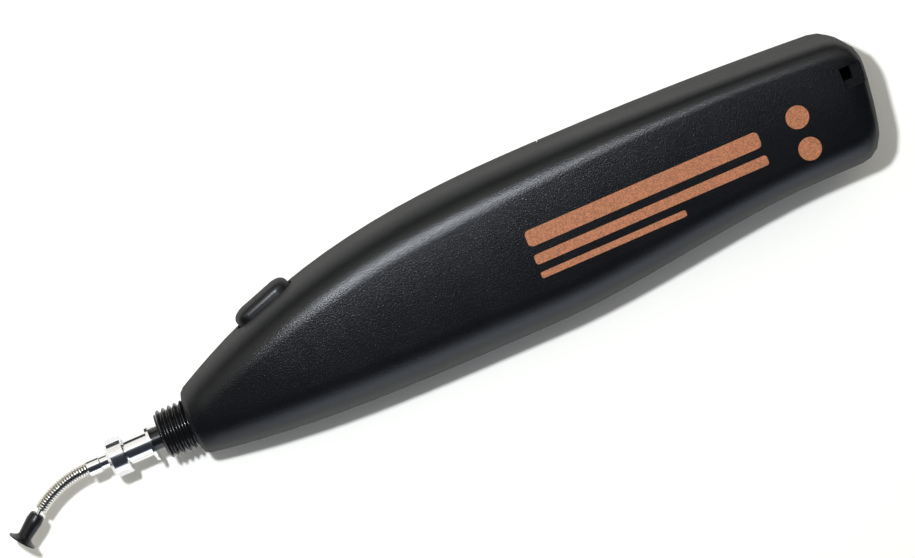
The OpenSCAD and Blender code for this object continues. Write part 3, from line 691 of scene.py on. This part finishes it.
@dataclass
class Housing(Assembly):
    """The two shells, the battery cover, their screws and the print on the side."""

    ink_low: float = 11.97
    ink_high: float = 12.012
    stripes: Sequence[tuple[float, float, float, float]] = (
        (107.0, 9.6, 53.0, 3.6),
        (107.0, 4.9, 53.0, 2.2),
        (97.0, 1.4, 33.0, 1.4),
    )
    spots: Sequence[tuple[float, float, float]] = ((142.5, 10.6, 2.5), (142.5, 3.4, 2.5))
    corner_share: float = 0.3
    corner_steps: int = 8
    spot_sides: int = 48

    def rounded_bar(self, x: float, y: float, length: float, width: float) -> Outline:
        """Outlines a bar with round corners about its middle."""
        radius = width * self.corner_share
        outline = []
        for side_x, side_y, start in ((1, 1, 0), (-1, 1, 90), (-1, -1, 180), (1, -1, 270)):
            middle_x = x + side_x * (length / 2 - radius)
            middle_y = y + side_y * (width / 2 - radius)
            for k in range(self.corner_steps + 1):
                angle = math.radians(start + 90 * k / self.corner_steps)
                out_x = radius * math.cos(angle)
                out_y = radius * math.sin(angle)
                outline.append((middle_x + out_x, middle_y + out_y))
        return outline

    def round_spot(self, x: float, y: float, radius: float) -> Outline:
        """Outlines a round spot about its middle."""
        angles = [TURN * k / self.spot_sides for k in range(self.spot_sides)]
        return [(x + radius * math.cos(angle), y + radius * math.sin(angle)) for angle in angles]

    def print_marks(self) -> Solid:
        """Lays plain stripes and spots of ink on the flat side."""
        solid = Solid()
        for x, y, length, width in self.stripes:
            solid.plate(self.rounded_bar(x, y, length, width), self.ink_low, self.ink_high)
        for x, y, radius in self.spots:
            solid.plate(self.round_spot(x, y, radius), self.ink_low, self.ink_high)
        return solid

    def dress(self) -> None:
        """Dresses the shells and prints the side."""
        self.keep(Finishes.SHELL, "upper_shell", "lower_shell", "battery_cover", angle_deg=34.0)
        self.keep(Finishes.SCREW, "housing_screws")
        self.fit(self.print_marks(), "print_marks", Finishes.INK, Body.PEN, "shell_plastic")


@dataclass
class Button(Assembly):
    """The push button, its plunger, the switch and the board."""

    def dress(self) -> None:
        """Dresses the button and the switch below it."""
        self.keep(Finishes.CAP, "button_cap", angle_deg=40.0)
        self.keep(Finishes.WHITE, "switch_plunger")
        self.keep(Finishes.GREY, "push_switch")
        self.keep(Finishes.BOARD, "switch_board")


@dataclass
class Nose(Assembly):
    """The threaded collar in the nose with the spigot, its ring and the filter."""

    thread_r: float = 5.5
    thread_from: float = -6.9
    thread_to: float = -0.04
    pitch: float = 1.33
    depth: float = 0.78
    flank_gain: float = 1.3
    crest_share: float = 0.17
    lead_in: float = 0.7
    crest_margin: float = 0.01
    neck_step: float = 0.02
    bore: float = 2.55
    neck_r: float = 4.6
    flange_r: float = 5.6
    flange_from: float = 2.3
    flange_to: float = 4.3
    tube_r: float = 4.2
    tube_end: float = 8.6
    rows_per_turn: int = 36
    sides: int = 120

    def thread(self, radius: float, x: float, angle: float) -> float:
        """Cuts the thread's groove into the collar's outside."""
        if radius < self.thread_r - self.crest_margin or x > self.thread_to:
            return radius
        phase = (x / self.pitch + angle / TURN) % 1.0
        flank = self.flank_gain * abs(2 * phase - 1) - self.crest_share
        groove = min(1.0, max(0.0, flank))
        lead = max(0.0, self.lead_in - (x - self.thread_from))
        return min(radius - self.depth * groove, radius - lead)

    def collar(self) -> Solid:
        """Turns the collar with its helical thread."""
        length = self.thread_to - self.thread_from
        rows = int(length / self.pitch * self.rows_per_turn)
        crest = [(self.thread_r, self.thread_from + length * k / rows) for k in range(rows + 1)]
        profile = [
            (self.bore, self.thread_from),
            *crest,
            (self.neck_r, self.thread_to + self.neck_step),
            (self.neck_r, self.flange_from),
            (self.flange_r, self.flange_from),
            (self.flange_r, self.flange_to),
            (self.tube_r, self.flange_to),
            (self.tube_r, self.tube_end),
            (self.bore, self.tube_end),
        ]
        solid = Solid()
        solid.turned(profile, self.sides, self.thread)
        return solid

    def dress(self) -> None:
        """Cuts the thread and dresses the fittings in the nose."""
        self.fit(
            self.collar(),
            "threaded_collar",
            Finishes.GLOSS,
            Body.PEN,
            "gloss_plastic",
            ("thread_collar",),
        )
        self.keep(Finishes.GLOSS, "spigot")
        self.keep(Finishes.RUBBER, "o_ring")
        self.keep(Finishes.FELT, "filter")


@dataclass
class Nozzle(Assembly):
    """The chromed holder, the knurled nut, the ferrule and the bent pipe with its coil and pad."""

    nut_rear: float = -15.15
    nut_shoulder: float = -18.45
    nut_front: float = -19.15
    nut_rows: Sequence[float] = (-16.2, -17.3)
    nut_r: float = 4.5
    nut_edge: float = 0.25
    nut_face_r: float = 3.8
    nut_bore_r: float = 2.58
    nut_hole_r: float = 1.73
    rim_from_r: float = 4.0
    teeth: int = 60
    tooth_depth: float = 0.04
    groove: float = 0.05
    steps_per_tooth: int = 20
    bend_x: float = -24.15
    bend_r: float = 22.2
    bend_turn_deg: float = -9.0
    coil_from_deg: float = 0.645
    coil_span_deg: float = 34.71
    coil_turns: int = 22
    coil_phase: float = -0.25
    coil_r: float = 1.45
    wire_r: float = 0.27
    steps_per_turn: int = 26
    wire_sides: int = 10
    slope_step: float = 0.01

    def knurl(self, radius: float, x: float, angle: float) -> float:
        """Cuts straight teeth into the nut's rim."""
        if radius < self.rim_from_r:
            return radius
        across = abs((self.teeth * angle / TURN) % 1.0 - 0.5)
        return radius - self.tooth_depth * max(0.0, 1 - across / self.groove)

    def nut(self) -> Solid:
        """Turns the knurled nut."""
        profile = [
            (self.nut_bore_r, self.nut_rear),
            (self.nut_r - self.nut_edge, self.nut_rear),
            (self.nut_r, self.nut_rear - self.nut_edge),
            *((self.nut_r, x) for x in self.nut_rows),
            (self.nut_r, self.nut_shoulder),
            (self.nut_face_r, self.nut_front),
            (self.nut_hole_r, self.nut_front),
            (self.nut_hole_r, self.nut_shoulder),
            (self.nut_bore_r, self.nut_shoulder),
        ]
        solid = Solid()
        solid.turned(profile, self.teeth * self.steps_per_tooth, self.knurl)
        return solid

    def bend_angle(self, turn: float) -> float:
        """Gives the angle along the bend that the coil has reached after some turns."""
        return math.radians(self.coil_from_deg + self.coil_span_deg * turn / self.coil_turns)

    def coil_point(self, turn: float) -> Vector:
        """Gives a place on the middle of the coil's wire after some turns."""
        along = self.bend_angle(turn)
        out = Vector((-math.sin(along), math.cos(along), 0.0))
        middle = Vector((0.0, -self.bend_r, 0.0)) + out * self.bend_r
        around = TURN * (turn + self.coil_phase)
        radial = out * math.cos(around) + Vector((0.0, 0.0, math.sin(around)))
        return middle + radial * (self.coil_r - self.wire_r)

    def coil(self) -> Solid:
        """Winds the coil round the bend."""
        turned = Matrix.Rotation(math.radians(self.bend_turn_deg), 4, "X")
        place = Matrix.Translation((self.bend_x, 0.0, 0.0)) @ turned
        count = self.coil_turns * self.steps_per_turn
        rings = []
        for i in range(count + 1):
            turn = i / self.steps_per_turn
            middle = self.coil_point(turn)
            ahead = self.coil_point(turn + self.slope_step)
            behind = self.coil_point(turn - self.slope_step)
            along = (ahead - behind).normalized()
            angle = self.bend_angle(turn)
            axis = Vector((-math.cos(angle), -math.sin(angle), 0.0))
            across = along.cross(axis).normalized()
            rise = across.cross(along)
            ring = []
            for k in range(self.wire_sides):
                around = TURN * k / self.wire_sides
                point = middle + self.wire_r * (math.cos(around) * across + math.sin(around) * rise)
                ring.append(tuple(place @ point))
            rings.append(ring)
        solid = Solid()
        solid.rings(rings, False)
        return solid

    def dress(self) -> None:
        """Builds the nut and the coil and dresses the rest of the nozzle."""
        self.fit(self.nut(), "knurled_nut", Finishes.CHROME, Body.NUT, "chrome", ("collar_nut",))
        self.fit(self.coil(), "wound_coil", Finishes.COIL, Body.NOZZLE, "steel", ("coil_sleeve",))
        self.keep(Finishes.CHROME, "nozzle_holder", "ferrule")
        self.keep(Finishes.PIPE, "pipe")
        self.keep(Finishes.RUBBER, "suction_pad")


@dataclass
class Pump(Assembly):
    """The motor, the diaphragm pump that it drives and the hose to the spigot."""

    def dress(self) -> None:
        """Dresses the pump and the motor."""
        self.keep(Finishes.HOSE, "suction_hose")
        self.keep(Finishes.GREY, "pump_head", "pump_body")
        self.keep(Finishes.WHITE, "valve_plate", "connecting_rod")
        self.keep(Finishes.RUBBER, "diaphragm")
        self.keep(Finishes.CAN, "motor")
        self.keep(Finishes.STEEL, "motor_shaft")


@dataclass
class Power(Assembly):
    """The two cells, their contacts and the leads."""

    contacts: Sequence[str] = (
        "negative_contact", "negative_spring", "positive_contact", "bridge_contact", "bridge_spring",
    )

    def dress(self) -> None:
        """Dresses the cells, the contacts and the leads."""
        self.keep(Finishes.CELL, "cell_front", "cell_rear")
        self.keep(Finishes.STEEL, *self.contacts)
        self.keep(Finishes.RED_LEAD, "battery_lead", "motor_lead")
        self.keep(Finishes.GREY_LEAD, "return_lead")


@dataclass(frozen=True)
class Bench(Finish):
    """Pale sheet that the pen lies on."""

    colour: Colour = (0.96, 0.935, 0.85)
    fibre: Colour = (0.94, 0.915, 0.83)
    glow: Colour = (0.02, 0.018, 0.015)
    tooth_mm: float = 0.6

    def shade(self, shade: Shade) -> None:
        """Fills the graph with a faint paper tooth and a little glow for what sees the sheet."""
        tooth = shade.noise(self.tooth_mm, detail=3.0)
        path = shade.node("ShaderNodeLightPath")
        camera, glossy, through = (
            Signal(shade, path.outputs[f"Is {kind} Ray"])
            for kind in ("Camera", "Glossy", "Transmission")
        )
        seen = (camera + glossy + through).clamped()
        shade.surface({
            "Base Color": shade.mix(tooth, self.colour, self.fibre),
            "Roughness": 0.9,
            "Specular IOR Level": 0.0,
            "Emission Color": shade.mix(seen, (0.0, 0.0, 0.0), self.glow),
            "Emission Strength": 1.0,
        })


@dataclass(frozen=True)
class Lamp:
    """A round soft light that leans from the upright over the place it lights."""

    name: str
    aim: Point
    lean_x_deg: float
    lean_y_deg: float
    distance_m: float
    size_m: float
    power_w: float
    colour: Colour

    def hang(self, frame: PenFrame) -> None:
        """Hangs the lamp."""
        light = bpy.data.lights.new(self.name, "AREA")
        light.shape = "DISK"
        light.size = self.size_m
        light.energy = self.power_w
        light.color = self.colour
        made = bpy.data.objects.new(self.name, light)
        lean = Vector((
            math.tan(math.radians(self.lean_x_deg)), math.tan(math.radians(self.lean_y_deg)), 1.0
        )).normalized()
        made.location = Vector(frame.row(self.aim)) + lean * self.distance_m
        made.rotation_euler = lean.to_track_quat("Z", "Y").to_euler()
        bpy.context.scene.collection.objects.link(made)


@dataclass
class Studio:
    """The bench, a soft lamp, the room round it and the camera of the photograph."""

    frame: PenFrame
    turn_deg: float = 23.5
    tilt_deg: float = 10.5
    aim: Point = (64.1, 5.66, 0.0)
    distance_mm: float = 620.0
    view_width_mm: float = 194.7
    sensor_mm: float = 36.0
    key: Lamp = Lamp(
        "key",
        aim=(48.0, 10.0, 0.0),
        lean_x_deg=-4.0,
        lean_y_deg=19.0,
        distance_m=0.5,
        size_m=0.026,
        power_w=2.6,
        colour=(0.87, 0.92, 1.0),
    )
    room_dark: Colour = (0.03, 0.034, 0.042)
    wall_pale: Colour = (2.3, 2.5, 2.85)
    wall_focus: float = 6.0
    wall_top: float = 0.64
    wall_top_gain: float = 4.0
    panel_pale: Colour = (1.12, 1.09, 1.02)
    panel_from: float = 0.22
    panel_from_gain: float = 12.0
    panel_to: float = 2.6
    panel_to_gain: float = 4.0
    panel_side: float = 0.72
    panel_side_gain: float = 6.0
    bench_half_m: float = 3.0

    def bench(self) -> None:
        """Lays the bench under the pen."""
        half = self.bench_half_m
        mesh = bpy.data.meshes.new("bench")
        corners = [(-half, -half, 0), (half, -half, 0), (half, half, 0), (-half, half, 0)]
        mesh.from_pydata(corners, [], [(0, 1, 2, 3)])
        made = bpy.data.objects.new("bench", mesh)
        bpy.context.scene.collection.objects.link(made)
        Bench("bench_sheet").on(made)

    def world(self) -> None:
        """Lights the room with a pale wall on the belly's side and a panel over the back."""
        world = bpy.data.worlds.new("fill")
        world.use_nodes = True
        graph = Graph(world.node_tree)
        graph.tree.nodes.clear()
        place = graph.node("ShaderNodeTexCoord").outputs["Generated"]
        split = graph.node("ShaderNodeSeparateXYZ", None, {0: place})
        side, back, rise = (Signal(graph, socket) for socket in split.outputs)
        rise = rise.clamped()
        facing = (0.0 - back).clamped() / (1.0 + NEAR_NOUGHT - rise * rise) ** 0.5
        below_top = ((self.wall_top - rise) * self.wall_top_gain).clamped()
        wall = facing ** self.wall_focus * below_top
        lean = back / (rise + NEAR_NOUGHT)
        past_start = ((lean - self.panel_from) * self.panel_from_gain).clamped()
        before_end = ((self.panel_to - lean) * self.panel_to_gain).clamped()
        between_sides = ((self.panel_side - side * side) * self.panel_side_gain).clamped()
        panel = past_start * before_end * between_sides
        room = graph.mix(wall, self.room_dark, self.wall_pale)
        lit = graph.mix(panel, room, self.panel_pale)
        fill = graph.node("ShaderNodeBackground", None, {"Color": lit, "Strength": 1.0})
        graph.node("ShaderNodeOutputWorld", None, {"Surface": fill.outputs[0]})
        bpy.context.scene.world = world

    def camera(self) -> None:
        """Stands the camera where the photograph was taken from."""
        tilt = math.radians(self.tilt_deg)
        turn = math.radians(self.turn_deg)
        back = Vector((0.0, math.sin(tilt), math.cos(tilt)))
        up_pen = Vector((0.0, math.cos(tilt), -math.sin(tilt)))
        along = Vector((1.0, 0.0, 0.0))
        right = math.cos(turn) * along - math.sin(turn) * up_pen
        up = math.sin(turn) * along + math.cos(turn) * up_pen
        camera = bpy.data.cameras.new("camera")
        camera.sensor_fit = "HORIZONTAL"
        camera.sensor_width = self.sensor_mm
        camera.lens = self.sensor_mm * self.distance_mm / self.view_width_mm
        camera.clip_start = 0.01
        made = bpy.data.objects.new("camera", camera)
        place = Matrix((right, up, back)).transposed().to_4x4()
        place.translation = Vector(self.frame.row(self.aim)) + back * self.distance_mm * MM
        made.matrix_world = place
        bpy.context.scene.collection.objects.link(made)
        bpy.context.scene.camera = made

    def build(self) -> None:
        """Sets up the bench, the lamp, the room and the camera."""
        self.bench()
        self.key.hang(self.frame)
        self.world()
        self.camera()
        bpy.context.scene.view_settings.view_transform = "Standard"


def main() -> None:
    """Builds and dresses the pen, then its bench."""
    logging.basicConfig(level=logging.INFO, format="%(name)s: %(message)s")
    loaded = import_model()
    frame = PenFrame.from_nodes()
    nodes = loaded["nodes"]
    for assembly in (Housing, Button, Nose, Nozzle, Pump, Power):
        LOG.info("%s", assembly.__name__)
        assembly(frame, nodes).dress()
    Studio(frame).build()


if __name__ == "__main__":
    main()
